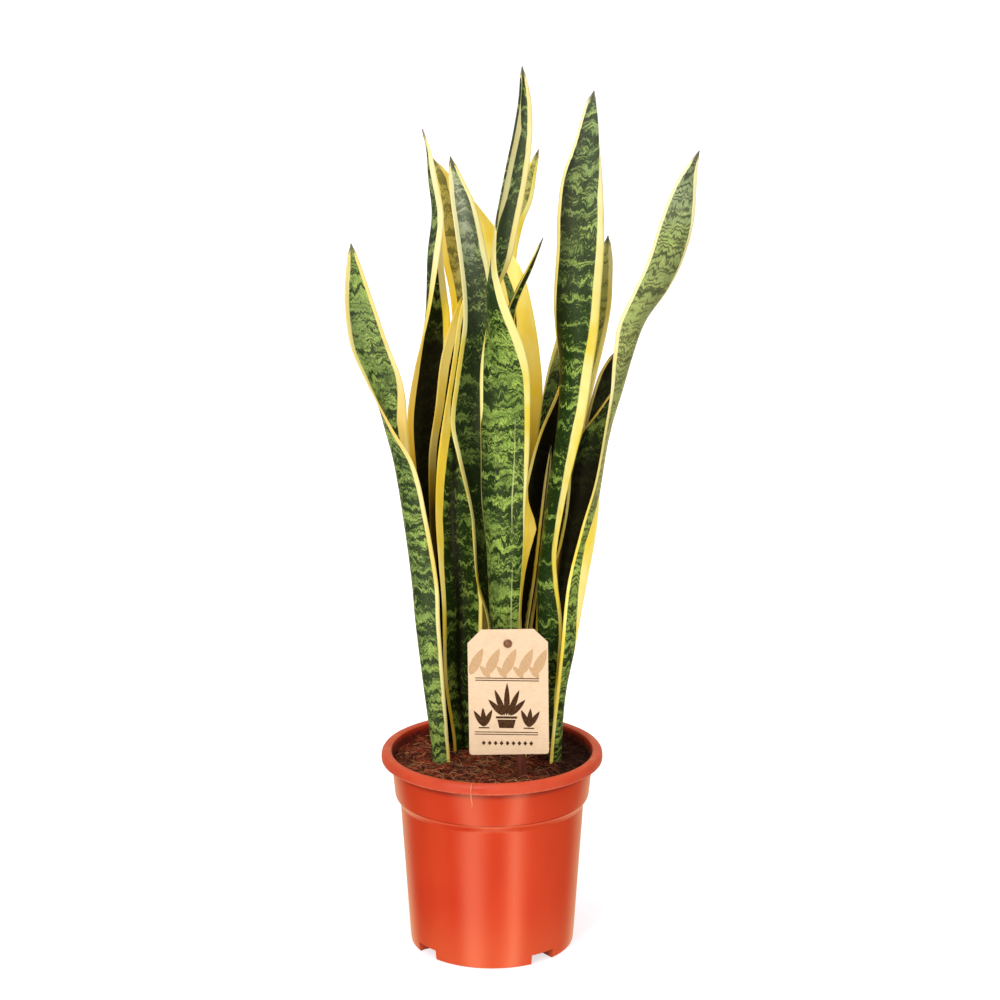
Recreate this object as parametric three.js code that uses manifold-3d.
// Potted snake plant with yellow leaf margins, in a terracotta-coloured nursery pot with a card tag.
// Millimetres, +Z up. The pot's axis is the Z axis and the floor is z = 0.
// The photograph is taken from the -Y side, with +X to its right.

import * as THREE from 'three';
import { mergeVertices } from 'three/addons/utils/BufferGeometryUtils.js';
import Module from 'manifold-3d';

const wasm = await Module();
wasm.setup();

const { degToRad, lerp, clamp } = THREE.MathUtils;

// Clearance between pieces that touch on the real plant
const GAP = 0.3;

// Pot
const POT_SIDES = 40;
const POT_HEIGHT = 157.5;
const RIM_RADIUS = 86;
const LIP_WIDTH = 7.5;
const LIP_DROP = 8.3;
const LIP_THICKNESS = 1.8;
const EDGE_ROUND = 1;
const SHOULDER = { topRadius: 79.2, footRadius: 75.4, footZ: 120.5 };
const STEP_FOOT = { radius: 71.4, z: 114 };
const BASE_RADIUS = 63.8;
const WALL = 1.4;
const FLOOR_THICKNESS = 2;

// Foot notches, each with a drain hole in its ceiling
const NOTCH_COUNT = 4;
const NOTCH_FIRST_ANGLE = -142;
const NOTCH = { width: 21, height: 8, innerRadius: 44, outerRadius: 70 };
const DRAIN = { radius: 4, centreRadius: 54 };

// How far a cutting shape reaches past the surface that it opens
const CUT_EXCESS = 5;

// Potting mix: its surface is two crossed waves, each with a number of crests round the pot
// and a phase that turns with the distance from the axis
const SOIL_LEVEL = 148.5;
const SOIL_RINGS = 5;
const SOIL_SIDES = 24;
const SOIL_BUMP = 0.9;
const SOIL_FLAT_RADIUS = 20;
const SOIL_WAVES = [
  { crests: 3, turn: 0.11 },
  { crests: 5, turn: -0.19 },
];

// Rhizome: a squat crown under each shoot, joined by runners
const CROWN_TOP = 108.5;
const CROWN_HEIGHT = 14;
const CROWN_SIDES = 20;
const CROWN_FOOT_SHARE = 0.7;
const CROWN_SHOULDER_SHARE = 0.4;
const RUNNER_RADIUS = 5;
const RUNNER_SIDES = 10;
const CROWNS = [
  { x: -27, y: 20, radius: 20 },
  { x: 9, y: 26, radius: 18 },
  { x: 42, y: 14, radius: 19 },
];

// Leaf blades, thinning to one tip thickness where they are narrower than THIN_FROM_WIDTH
const BLADE_THICKNESS = 2.3;
const MARGIN_THICKNESS = 1.1;
const TIP_THICKNESS = 0.9;
const THIN_FROM_WIDTH = 20;
const SECTION_SPACING = 42;
const SECTION_POINTS = [-1, -0.5, 0, 0.5, 1];

// Card tag, its stake and the pin that joins them
const TAG = { width: 60.5, height: 99, thickness: 0.9, clip: 10.5, corner: 2.5 };
const TAG_PIN = { x: 12, y: -46, z: 256, drop: 11 };
const TAG_ROLL = -0.8;
const STAKE = { width: 7.5, thickness: 2, foot: 84, overlap: 6, lean: 6.2 };
const STAKE_TIP_WIDTH = 2;
const PIN = { headRadius: 3.3, headThickness: 1.2, shankRadius: 1.5, burr: 1, sides: 20 };

// A leaf is a list of level stations from its foot in the soil up to its tip:
// [height, centre x, centre y, flat width, turn, fold].
// Turn is the direction from the blade's first margin to its second, seen from above, in degrees.
// Fold is how far each half of the blade is raised from flat into a channel, in degrees.
const LEAVES = {
  leaf_left_outer: [
    [109, -34, 0, 24, 120, 45],
    [155, -37, -4, 25, 120, 45],
    [215, -42, -6, 31, 120, 45],
    [262, -46, -8, 36, 120, 42],
    [296, -48, -10, 39, 120, 40],
    [346, -54, -14, 38, 114, 40],
    [391, -60, -17, 40, 98, 40],
    [417, -68, -20, 37, 72, 38],
    [437, -74, -22, 36, 50, 34],
    [454, -80, -24, 35, 34, 30],
    [480, -90, -28, 32, 20, 25],
    [513, -97, -32, 23, 15, 20],
    [537, -100, -35, 13, 15, 18],
    [557, -102, -37, 2, 15, 10],
  ],
  leaf_left_tall: [
    [109, -35, 39, 24, 30, 45],
    [155, -36, 40, 24, 30, 45],
    [207, -38, 41, 27, 30, 44],
    [284, -41, 38, 31, 30, 38],
    [335, -44, 35, 34, 30, 32],
    [380, -48, 31, 37, 28, 26],
    [415, -49, 28, 38, 28, 25],
    [454, -45, 24, 36, 36, 28],
    [490, -40, 20, 33, 52, 34],
    [510, -39, 18, 31, 66, 36],
    [542, -38, 15, 30, 86, 36],
    [572, -36, 13, 27, 93, 34],
    [599, -41, 11, 20, 95, 30],
    [619, -45, 10, 11, 95, 26],
    [635, -51, 9, 2, 95, 15],
  ],
  leaf_left_middle: [
    [109, 2, 28, 22, 20, 45],
    [155, 2, 27, 22, 20, 45],
    [210, 5, 20, 23, 20, 42],
    [255, 6, 12, 24, 20, 38],
    [291, 0, 7, 30, 20, 34],
    [342, -2, 3, 32, 15, 28],
    [390, -11, 0, 33, 10, 22],
    [416, -15, -2, 34, 6, 20],
    [449, -12, -5, 33, 8, 20],
    [495, -8, -9, 29, 12, 22],
    [526, -11, -12, 25, 14, 22],
    [564, -17, -15, 22, 15, 22],
    [584, -21, -16, 19, 12, 22],
    [602, -26, -17, 11, 10, 20],
    [618, -30, -18, 2, 10, 10],
  ],
  leaf_left_folded: [
    [109, -20, 17, 24, 13, 45],
    [155, -20, 16, 29, 13, 45],
    [207, -23, 16, 38, 13, 42],
    [268, -23, 15, 40, 13, 38],
    [305, -26, 14, 38, 12, 36],
    [340, -28, 13, 37, 12, 34],
    [376, -27, 12, 35, 10, 30],
    [407, -24, 12, 33, 10, 28],
    [458, -19, 12, 25, 10, 26],
    [495, -17, 12, 17, 10, 24],
    [524, -16, 12, 2, 10, 12],
  ],
  leaf_left_back: [
    [109, -31, 25, 24, 45, 45],
    [155, -32, 26, 25, 45, 45],
    [253, -35, 28, 29, 25, 38],
    [323, -35, 27, 30, 15, 30],
    [384, -35, 25, 30, 15, 24],
    [423, -30, 24, 29, 15, 22],
    [459, -27, 24, 26, 15, 20],
    [483, -23, 24, 21, 15, 20],
    [498, -21, 24, 14, 15, 18],
    [511, -21, 24, 2, 15, 10],
  ],
  leaf_left_olive: [
    [109, -10, 35, 21, 15, 45],
    [155, -10, 36, 22, 15, 45],
    [301, -14, 39, 26, 15, 34],
    [386, -16, 39, 28, 15, 28],
    [457, -17, 39, 27, 18, 25],
    [503, -20, 38, 26, 20, 25],
    [541, -27, 36, 26, 20, 25],
    [579, -33, 33, 22, 20, 25],
    [596, -37, 32, 16, 20, 22],
    [611, -44, 31, 2, 20, 12],
  ],
  leaf_centre_tall: [
    [109, 10, 17, 20, 165, 45],
    [155, 10, 16, 20, 165, 45],
    [203, 11, 8, 24, 165, 42],
    [265, 10, -10, 29, 165, 36],
    [297, 10, -16, 31, 165, 32],
    [329, 10, -22, 33, 168, 26],
    [362, 9, -26, 36, 170, 20],
    [401, 10, -28, 38, 172, 16],
    [453, 10, -30, 39, 170, 13],
    [481, 9, -31, 38, 146, 20],
    [499, 8, -32, 37, 124, 28],
    [518, 7, -33, 35, 102, 34],
    [543, 9, -35, 31, 65, 34],
    [571, 12, -37, 30, 50, 32],
    [589, 15, -38, 28, 45, 30],
    [618, 20, -41, 25, 42, 30],
    [640, 23, -43, 20, 42, 30],
    [663, 24, -45, 12, 40, 28],
    [685, 22, -47, 2, 40, 15],
  ],
  leaf_centre_back: [
    [109, 18, 35, 21, 10, 45],
    [155, 18, 34, 21, 10, 45],
    [254, 17, 31, 22, 10, 38],
    [326, 17, 29, 26, 10, 30],
    [388, 20, 26, 31, 10, 24],
    [427, 22, 24, 36, 10, 20],
    [464, 20, 22, 35, 12, 18],
    [504, 14, 20, 34, 15, 18],
    [529, 7, 19, 33, 18, 18],
    [559, -8, 18, 26, 20, 18],
    [571, -14, 18, 19, 20, 18],
    [582, -18, 18, 8, 20, 15],
    [587, -21, 18, 2, 20, 10],
  ],
  leaf_centre_pale: [
    [109, 5, 46, 18, 170, 45],
    [155, 5, 47, 18, 170, 45],
    [305, 6, 44, 18, 170, 36],
    [410, 7, 41, 20, 170, 28],
    [487, 8, 36, 23, 170, 26],
    [535, 10, 32, 19, 170, 24],
    [562, 16, 30, 17, 170, 22],
    [580, 24, 29, 14, 170, 20],
    [602, 30, 29, 8, 170, 18],
    [618, 35, 29, 2, 170, 10],
  ],
  leaf_spear: [
    [109, 12, 23, 12, 60, 45],
    [155, 12, 21, 13, 60, 45],
    [225, 11, 9, 16, 60, 42],
    [306, 11, -3, 19, 60, 38],
    [434, 11, -8, 17, 60, 30],
    [501, 15, -9, 13, 60, 25],
    [518, 21, -9, 11, 60, 25],
    [533, 28, -9, 9, 60, 22],
    [557, 38, -9, 2, 60, 12],
  ],
  leaf_right_tall: [
    [109, 43, 18, 21, 130, 45],
    [155, 44, 16, 22, 130, 45],
    [195, 45, 14, 25, 130, 45],
    [257, 47, 3, 34, 125, 44],
    [294, 48, -2, 34, 100, 46],
    [317, 51, -4, 37, 80, 46],
    [357, 57, -7, 41, 80, 46],
    [396, 61, -10, 42, 96, 40],
    [428, 62, -12, 39, 120, 34],
    [466, 63, -16, 38, 137, 28],
    [489, 63, -18, 38, 152, 22],
    [513, 63, -20, 37, 165, 17],
    [550, 65, -22, 36, 172, 14],
    [576, 65, -24, 35, 176, 14],
    [604, 66, -25, 30, 178, 14],
    [628, 69, -26, 19, 180, 14],
    [647, 71, -26, 12, 180, 12],
    [658, 72, -26, 7, 180, 12],
    [666, 74, -26, 2, 180, 8],
  ],
  leaf_right_outer: [
    [109, 44, -6, 20, 262, 45],
    [155, 46, -6, 21, 262, 40],
    [200, 50, -7, 22, 262, 30],
    [242, 58, -8, 23, 240, 22],
    [293, 65, -10, 24, 228, 14],
    [335, 73, -12, 24, 236, 12],
    [373, 79, -15, 27, 260, 10],
    [412, 85, -18, 28, 263, 10],
    [446, 92, -21, 28, 252, 18],
    [471, 96, -24, 30, 240, 26],
    [497, 103, -27, 32, 223, 26],
    [522, 117, -30, 31, 205, 20],
    [547, 128, -32, 29, 195, 18],
    [574, 135, -34, 26, 190, 14],
    [601, 141, -34, 16, 190, 12],
    [615, 146, -34, 7, 190, 10],
    [624, 150, -34, 2, 190, 8],
  ],
  leaf_right_back: [
    [109, 29, 44, 19, 20, 45],
    [155, 29, 44, 19, 20, 45],
    [229, 36, 38, 22, 20, 40],
    [303, 43, 32, 26, 20, 34],
    [368, 47, 27, 36, 18, 28],
    [412, 54, 24, 41, 16, 24],
    [445, 60, 22, 43, 14, 22],
    [467, 65, 20, 42, 12, 21],
    [483, 69, 19, 40, 12, 20],
    [504, 75, 18, 33, 11, 20],
    [525, 82, 18, 19, 10, 20],
    [538, 85, 18, 12, 10, 18],
    [555, 87, 18, 2, 10, 10],
  ],
  leaf_right_middle: [
    [109, 28, 19, 20, 30, 45],
    [155, 28, 19, 21, 30, 45],
    [232, 30, 17, 28, 30, 42],
    [287, 31, 12, 34, 35, 38],
    [330, 36, 9, 38, 40, 32],
    [354, 38, 8, 39, 35, 28],
    [387, 45, 7, 38, 30, 24],
    [409, 51, 7, 36, 30, 22],
    [434, 59, 8, 29, 30, 22],
    [464, 65, 8, 16, 30, 20],
    [484, 68, 8, 2, 30, 12],
  ],
  leaf_slim: [
    [109, 29, 11, 12, 60, 45],
    [155, 29, 11, 12, 60, 45],
    [235, 28, 9, 12, 60, 45],
    [299, 36, 6, 11, 60, 45],
    [339, 40, 5, 10, 60, 42],
    [371, 43, 4, 8, 60, 40],
    [397, 45, 4, 2, 60, 20],
  ],
  leaf_right_rear: [
    [109, 40, 38, 14, 20, 45],
    [155, 41, 39, 14, 20, 45],
    [230, 53, 40, 16, 20, 40],
    [303, 65, 44, 22, 20, 36],
    [368, 75, 44, 24, 20, 28],
    [409, 82, 43, 22, 20, 22],
    [442, 90, 43, 20, 20, 20],
    [455, 93, 43, 11, 20, 20],
    [464, 96, 43, 2, 20, 10],
  ],
  leaf_right_inner: [
    [109, 41, 29, 15, 20, 45],
    [155, 42, 29, 15, 20, 45],
    [232, 52, 25, 19, 20, 40],
    [306, 61, 20, 24, 20, 34],
    [369, 71, 16, 28, 20, 28],
    [405, 79, 14, 27, 20, 24],
    [416, 84, 13, 19, 20, 22],
    [431, 90, 13, 8, 20, 20],
    [441, 94, 13, 2, 20, 12],
  ],
};

const SHADES = {
  pot: { color: 0xc94a2c, roughness: 0.45 },
  potting_mix: { color: 0x4a2a20, roughness: 1 },
  rhizome: { color: 0xc98a4a, roughness: 0.8 },
  leaf: { color: 0x4c7a3a, roughness: 0.4 },
  tag_card: { color: 0xd9b78c, roughness: 0.9 },
  tag_stake: { color: 0x8a4630, roughness: 0.7 },
  tag_pin: { color: 0x6b4526, roughness: 0.6 },
};

// Solids from three.js geometry, and back

function toSolid(geometry) {
  const bare = geometry.clone();
  bare.deleteAttribute('normal');
  bare.deleteAttribute('uv');
  const merged = mergeVertices(bare, 1e-4);
  const vertProperties = new Float32Array(merged.attributes.position.array);
  const triVerts = new Uint32Array(merged.index.array);
  return new wasm.Manifold(new wasm.Mesh({ numProp: 3, vertProperties, triVerts }));
}

function toGeometry(solid) {
  const { numProp, vertProperties, triVerts } = solid.getMesh();
  const positions = new Float32Array((vertProperties.length / numProp) * 3);
  for (let vertex = 0; vertex * numProp < vertProperties.length; vertex += 1) {
    for (let axis = 0; axis < 3; axis += 1) {
      positions[vertex * 3 + axis] = vertProperties[vertex * numProp + axis];
    }
  }
  const geometry = new THREE.BufferGeometry();
  geometry.setAttribute('position', new THREE.BufferAttribute(positions, 3));
  geometry.setIndex(new THREE.BufferAttribute(new Uint32Array(triVerts), 1));
  geometry.computeVertexNormals();
  return geometry;
}

// A solid of revolution about +Z from [radius, z] points that start and end on the axis
function lathe(points, sides) {
  const profile = points.map(([radius, z]) => new THREE.Vector2(radius, z));
  return new THREE.LatheGeometry(profile, sides).rotateX(Math.PI / 2);
}

// An upright cylinder between two heights
function post(radius, bottom, top, sides = 24) {
  return lathe([[0, bottom], [radius, bottom], [radius, top], [0, top]], sides);
}

// Pot

// The wall's outer radius at a height, below the shoulder's step
function wallRadius(z) {
  return lerp(BASE_RADIUS, STEP_FOOT.radius, z / STEP_FOOT.z);
}

// The raised pocket over one notch, grown outwards by a margin
function notchPocket(grow) {
  const length = NOTCH.outerRadius - NOTCH.innerRadius + grow;
  const height = NOTCH.height + grow;
  const box = new THREE.BoxGeometry(length, NOTCH.width + 2 * grow, height + CUT_EXCESS);
  return box.translate(NOTCH.innerRadius - grow + length / 2, 0, (height - CUT_EXCESS) / 2);
}

function notchRing(shape) {
  const pieces = [];
  for (let notch = 0; notch < NOTCH_COUNT; notch += 1) {
    const angle = NOTCH_FIRST_ANGLE + (notch * 360) / NOTCH_COUNT;
    pieces.push(toSolid(shape.clone().rotateZ(degToRad(angle))));
  }
  return pieces.reduce((whole, piece) => whole.add(piece));
}

// The space inside the pot, shrunk by a clearance
function potInside(clearance) {
  const inset = WALL + clearance;
  const profile = [
    [0, FLOOR_THICKNESS + clearance],
    [wallRadius(FLOOR_THICKNESS) - inset, FLOOR_THICKNESS + clearance],
    [STEP_FOOT.radius - inset, STEP_FOOT.z],
    [SHOULDER.footRadius - inset, SHOULDER.footZ],
    [SHOULDER.topRadius - inset, POT_HEIGHT - LIP_THICKNESS],
    [RIM_RADIUS - LIP_WIDTH - clearance, POT_HEIGHT + CUT_EXCESS],
    [0, POT_HEIGHT + CUT_EXCESS],
  ];
  return toSolid(lathe(profile, POT_SIDES));
}

function pot() {
  const lipInner = RIM_RADIUS - LIP_THICKNESS;
  const outline = [
    [0, 0],
    [BASE_RADIUS - EDGE_ROUND, 0],
    [wallRadius(EDGE_ROUND), EDGE_ROUND],
    [STEP_FOOT.radius, STEP_FOOT.z],
    [SHOULDER.footRadius, SHOULDER.footZ],
    [SHOULDER.topRadius, POT_HEIGHT - LIP_THICKNESS],
    [lipInner, POT_HEIGHT - LIP_THICKNESS - EDGE_ROUND],
    [lipInner, POT_HEIGHT - LIP_DROP],
    [RIM_RADIUS - EDGE_ROUND / 2, POT_HEIGHT - LIP_DROP],
    [RIM_RADIUS, POT_HEIGHT - LIP_DROP + EDGE_ROUND],
    [RIM_RADIUS - EDGE_ROUND / 2, POT_HEIGHT - 2 * EDGE_ROUND],
    [RIM_RADIUS - 2 * EDGE_ROUND, POT_HEIGHT - EDGE_ROUND / 3],
    [RIM_RADIUS - LIP_WIDTH / 2, POT_HEIGHT],
    [0, POT_HEIGHT],
  ];
  const drain = post(DRAIN.radius, -CUT_EXCESS, NOTCH.height + CUT_EXCESS, 16);
  drain.translate(DRAIN.centreRadius, 0, 0);
  return toSolid(lathe(outline, POT_SIDES))
    .subtract(potInside(0).subtract(notchRing(notchPocket(WALL))))
    .subtract(notchRing(notchPocket(0)))
    .subtract(notchRing(drain));
}

// Leaves

// A smooth value between stations: a cubic through them with averaged slopes
function smoothAt(stations, column, height) {
  const slope = (index) => {
    const before = stations[Math.max(index - 1, 0)];
    const after = stations[Math.min(index + 1, stations.length - 1)];
    return (after[column] - before[column]) / (after[0] - before[0]);
  };
  let index = 0;
  while (index < stations.length - 2 && height > stations[index + 1][0]) index += 1;
  const [low, high] = [stations[index], stations[index + 1]];
  const span = high[0] - low[0];
  const t = clamp((height - low[0]) / span, 0, 1);
  const rise = high[column] - low[column];
  const startSlope = slope(index) * span - rise;
  const endSlope = slope(index + 1) * span - rise;
  return low[column] + rise * t + t * (1 - t) * (startSlope * (1 - t) - endSlope * t);
}

// The closed outline of a blade at one height: the inner face and then the outer one
function bladeOutline(stations, height, grow) {
  const at = (column) => smoothAt(stations, column, height);
  const [x, y] = [at(1), at(2)];
  const half = at(3) / 2;
  const turn = degToRad(at(4));
  const fold = degToRad(at(5));
  const along = new THREE.Vector2(Math.cos(turn), Math.sin(turn));
  const opening = new THREE.Vector2(Math.sin(turn), -Math.cos(turn));
  const halfChord = half * Math.cos(fold);
  const depth = half * Math.sin(fold);
  const slim = clamp(at(3) / THIN_FROM_WIDTH, 0, 1);
  const middle = lerp(TIP_THICKNESS, BLADE_THICKNESS, slim) / 2 + grow;
  const edge = lerp(TIP_THICKNESS, MARGIN_THICKNESS, slim) / 2 + grow;
  const pointAt = (u, side) => {
    const tangent = new THREE.Vector2(halfChord, 2 * depth * u).normalize();
    const beyond = Math.abs(u) === 1 ? u * grow : 0;
    const offset = side * lerp(middle, edge, u * u);
    const across = halfChord * u + tangent.x * beyond - tangent.y * offset;
    const inward = depth * (u * u - 1) + tangent.y * beyond + tangent.x * offset;
    return [
      x + along.x * across + opening.x * inward,
      y + along.y * across + opening.y * inward,
      height,
    ];
  };
  const inner = SECTION_POINTS.map((u) => pointAt(u, 1));
  const outer = SECTION_POINTS.map((u) => pointAt(u, -1)).reverse();
  return [...inner, ...outer];
}

// A closed tube through level outlines, whose two faces are split into triangles alike
function loft(outlines) {
  const count = outlines[0].length;
  const positions = outlines.flat(2);
  const index = [];
  for (let level = 0; level < outlines.length - 1; level += 1) {
    for (let side = 0; side < count; side += 1) {
      const next = (side + 1) % count;
      const [a, b] = [level * count + side, level * count + next];
      const [c, d] = [a + count, b + count];
      if (side < count / 2) index.push(a, b, d, a, d, c);
      else index.push(a, b, c, b, d, c);
    }
  }
  const last = (outlines.length - 1) * count;
  for (let side = 0; side < count / 2 - 1; side += 1) {
    const mirror = count - 1 - side;
    index.push(side, mirror, side + 1, side + 1, mirror, mirror - 1);
    index.push(last + side, last + side + 1, last + mirror);
    index.push(last + side + 1, last + mirror - 1, last + mirror);
  }
  const geometry = new THREE.BufferGeometry();
  geometry.setAttribute('position', new THREE.Float32BufferAttribute(positions, 3));
  geometry.setIndex(index);
  return geometry;
}

// A blade is straight from its foot to its collar, and has a section at each station above
function sectionHeights(stations) {
  const [foot, collar] = [stations[0][0], stations[1][0]];
  const heights = [foot, collar];
  for (let index = 2; index < stations.length; index += 1) {
    const [low, high] = [stations[index - 1][0], stations[index][0]];
    const steps = Math.ceil((high - low) / SECTION_SPACING);
    for (let step = 1; step <= steps; step += 1) heights.push(lerp(low, high, step / steps));
  }
  return heights;
}

function leaf(stations) {
  return loft(sectionHeights(stations).map((height) => bladeOutline(stations, height, 0)));
}

// The hole that a leaf stands in, from the top of the rhizome up through the soil
function leafHole(stations) {
  const [foot, collar] = [stations[0][0], stations[1][0]];
  const footOutline = bladeOutline(stations, foot, GAP);
  const lowest = footOutline.map(([x, y]) => [x, y, foot - GAP]);
  return toSolid(loft([lowest, footOutline, bladeOutline(stations, collar, GAP)]));
}

// Rhizome

function rhizome(grow) {
  const crowns = CROWNS.map(({ x, y, radius }) => {
    const [outer, top, bottom] = [radius + grow, CROWN_TOP + grow, CROWN_TOP - CROWN_HEIGHT - grow];
    const profile = [
      [0, bottom],
      [outer * CROWN_FOOT_SHARE, bottom],
      [outer, bottom + CROWN_HEIGHT * CROWN_SHOULDER_SHARE],
      [outer, top - EDGE_ROUND],
      [outer - EDGE_ROUND, top],
      [0, top],
    ];
    return toSolid(lathe(profile, CROWN_SIDES).translate(x, y, 0));
  });
  const runners = CROWNS.slice(1).map((end, index) => {
    const start = CROWNS[index];
    const length = Math.hypot(end.x - start.x, end.y - start.y);
    const radius = RUNNER_RADIUS + grow;
    const runner = new THREE.CylinderGeometry(radius, radius, length, RUNNER_SIDES);
    runner.rotateZ(Math.PI / 2).rotateZ(Math.atan2(end.y - start.y, end.x - start.x));
    const middle = CROWN_TOP - CROWN_HEIGHT / 2;
    return toSolid(runner.translate((start.x + end.x) / 2, (start.y + end.y) / 2, middle));
  });
  return [...crowns, ...runners].reduce((whole, piece) => whole.add(piece));
}

// Potting mix

// The mix's surface height, a little uneven and level on the axis
function soilHeight(radius, angle) {
  const waves = SOIL_WAVES.map(({ crests, turn }) => Math.sin(crests * angle + radius * turn));
  const strength = Math.min(radius / SOIL_FLAT_RADIUS, 1);
  return SOIL_LEVEL + SOIL_BUMP * strength * (waves[0] + waves[1]);
}

// Everything above the mix's surface, as a solid to cut away
function airAboveSoil() {
  const [reach, roof] = [RIM_RADIUS + CUT_EXCESS, POT_HEIGHT + 2 * CUT_EXCESS];
  const profile = [[0, SOIL_LEVEL]];
  for (let ring = 1; ring <= SOIL_RINGS; ring += 1) {
    profile.push([(reach * ring) / SOIL_RINGS, SOIL_LEVEL]);
  }
  profile.push([reach, roof], [0, roof]);
  const geometry = lathe(profile, SOIL_SIDES);
  const position = geometry.attributes.position;
  for (let vertex = 0; vertex < position.count; vertex += 1) {
    if (position.getZ(vertex) < roof) {
      const [x, y] = [position.getX(vertex), position.getY(vertex)];
      position.setZ(vertex, soilHeight(Math.hypot(x, y), Math.atan2(y, x)));
    }
  }
  return toSolid(geometry);
}

function pottingMix() {
  const holes = Object.values(LEAVES).map((stations) => leafHole(stations));
  return potInside(GAP)
    .subtract(notchRing(notchPocket(WALL + GAP)))
    .subtract(airAboveSoil())
    .subtract(rhizome(GAP))
    .subtract(holes.reduce((whole, hole) => whole.add(hole)))
    .subtract(toSolid(stake(GAP)));
}

// Tag

function plate(shape, thickness) {
  const settings = { depth: thickness, bevelEnabled: false, curveSegments: 3 };
  return new THREE.ExtrudeGeometry(shape, settings).rotateX(Math.PI / 2);
}

// Turns a piece about the pin and puts it in its place behind the tag's front face
function hangOnPin(geometry, roll, depth) {
  geometry.rotateY(degToRad(roll));
  return geometry.translate(TAG_PIN.x, TAG_PIN.y + depth, TAG_PIN.z);
}

function pinHole(radius) {
  return new THREE.CylinderGeometry(radius, radius, 4 * CUT_EXCESS, 16);
}

function tagCard() {
  const { width, height, thickness, clip, corner } = TAG;
  const [side, top, bottom] = [width / 2, TAG_PIN.drop, TAG_PIN.drop - height];
  const shape = new THREE.Shape();
  shape.moveTo(-side, bottom + corner);
  shape.absarc(-side + corner, bottom + corner, corner, Math.PI, 1.5 * Math.PI, false);
  shape.absarc(side - corner, bottom + corner, corner, 1.5 * Math.PI, 2 * Math.PI, false);
  shape.lineTo(side, top - clip);
  shape.lineTo(side - clip, top);
  shape.lineTo(-side + clip, top);
  shape.lineTo(-side, top - clip);
  const card = toSolid(plate(shape, thickness).translate(0, thickness, 0));
  const holed = card.subtract(toSolid(pinHole(PIN.shankRadius + GAP)));
  return toSolid(hangOnPin(toGeometry(holed), TAG_ROLL, 0));
}

function stake(grow) {
  const { width, thickness, foot, overlap, lean } = STAKE;
  const length = TAG_PIN.z - foot + grow;
  const half = width / 2 + grow;
  const shape = new THREE.Shape();
  shape.moveTo(-half, overlap + grow);
  shape.lineTo(-half, -length + width);
  shape.lineTo(-STAKE_TIP_WIDTH / 2 - grow, -length);
  shape.lineTo(STAKE_TIP_WIDTH / 2 + grow, -length);
  shape.lineTo(half, -length + width);
  shape.lineTo(half, overlap + grow);
  const slab = plate(shape, thickness + 2 * grow).translate(0, thickness + grow, 0);
  return hangOnPin(slab, -lean, TAG.thickness + GAP);
}

function tagStake() {
  const hole = hangOnPin(pinHole(PIN.shankRadius + GAP), 0, 0);
  return toSolid(stake(0)).subtract(toSolid(hole));
}

function tagPin() {
  const { headRadius, headThickness, shankRadius, burr, sides } = PIN;
  const back = TAG.thickness + 2 * GAP + STAKE.thickness;
  const profile = [
    [0, -headThickness - GAP],
    [headRadius * 0.6, -headThickness - GAP],
    [headRadius, -GAP - headThickness * 0.4],
    [headRadius, -GAP],
    [shankRadius, -GAP],
    [shankRadius, back],
    [shankRadius + burr, back],
    [shankRadius + burr, back + burr],
    [0, back + burr],
  ];
  return toSolid(hangOnPin(lathe(profile, sides).rotateX(-Math.PI / 2), 0, 0));
}

// Assembly

const plant = new THREE.Group();

function addPiece(name, geometry, shade) {
  const material = new THREE.MeshStandardMaterial({ ...shade, metalness: 0 });
  const mesh = new THREE.Mesh(geometry, material);
  mesh.name = name;
  plant.add(mesh);
}

addPiece('pot', toGeometry(pot()), SHADES.pot);
addPiece('potting_mix', toGeometry(pottingMix()), SHADES.potting_mix);
addPiece('rhizome', toGeometry(rhizome(0)), SHADES.rhizome);
for (const [name, stations] of Object.entries(LEAVES)) {
  addPiece(name, leaf(stations), SHADES.leaf);
}
addPiece('tag_card', toGeometry(tagCard()), SHADES.tag_card);
addPiece('tag_stake', toGeometry(tagStake()), SHADES.tag_stake);
addPiece('tag_pin', toGeometry(tagPin()), SHADES.tag_pin);

export default plant;
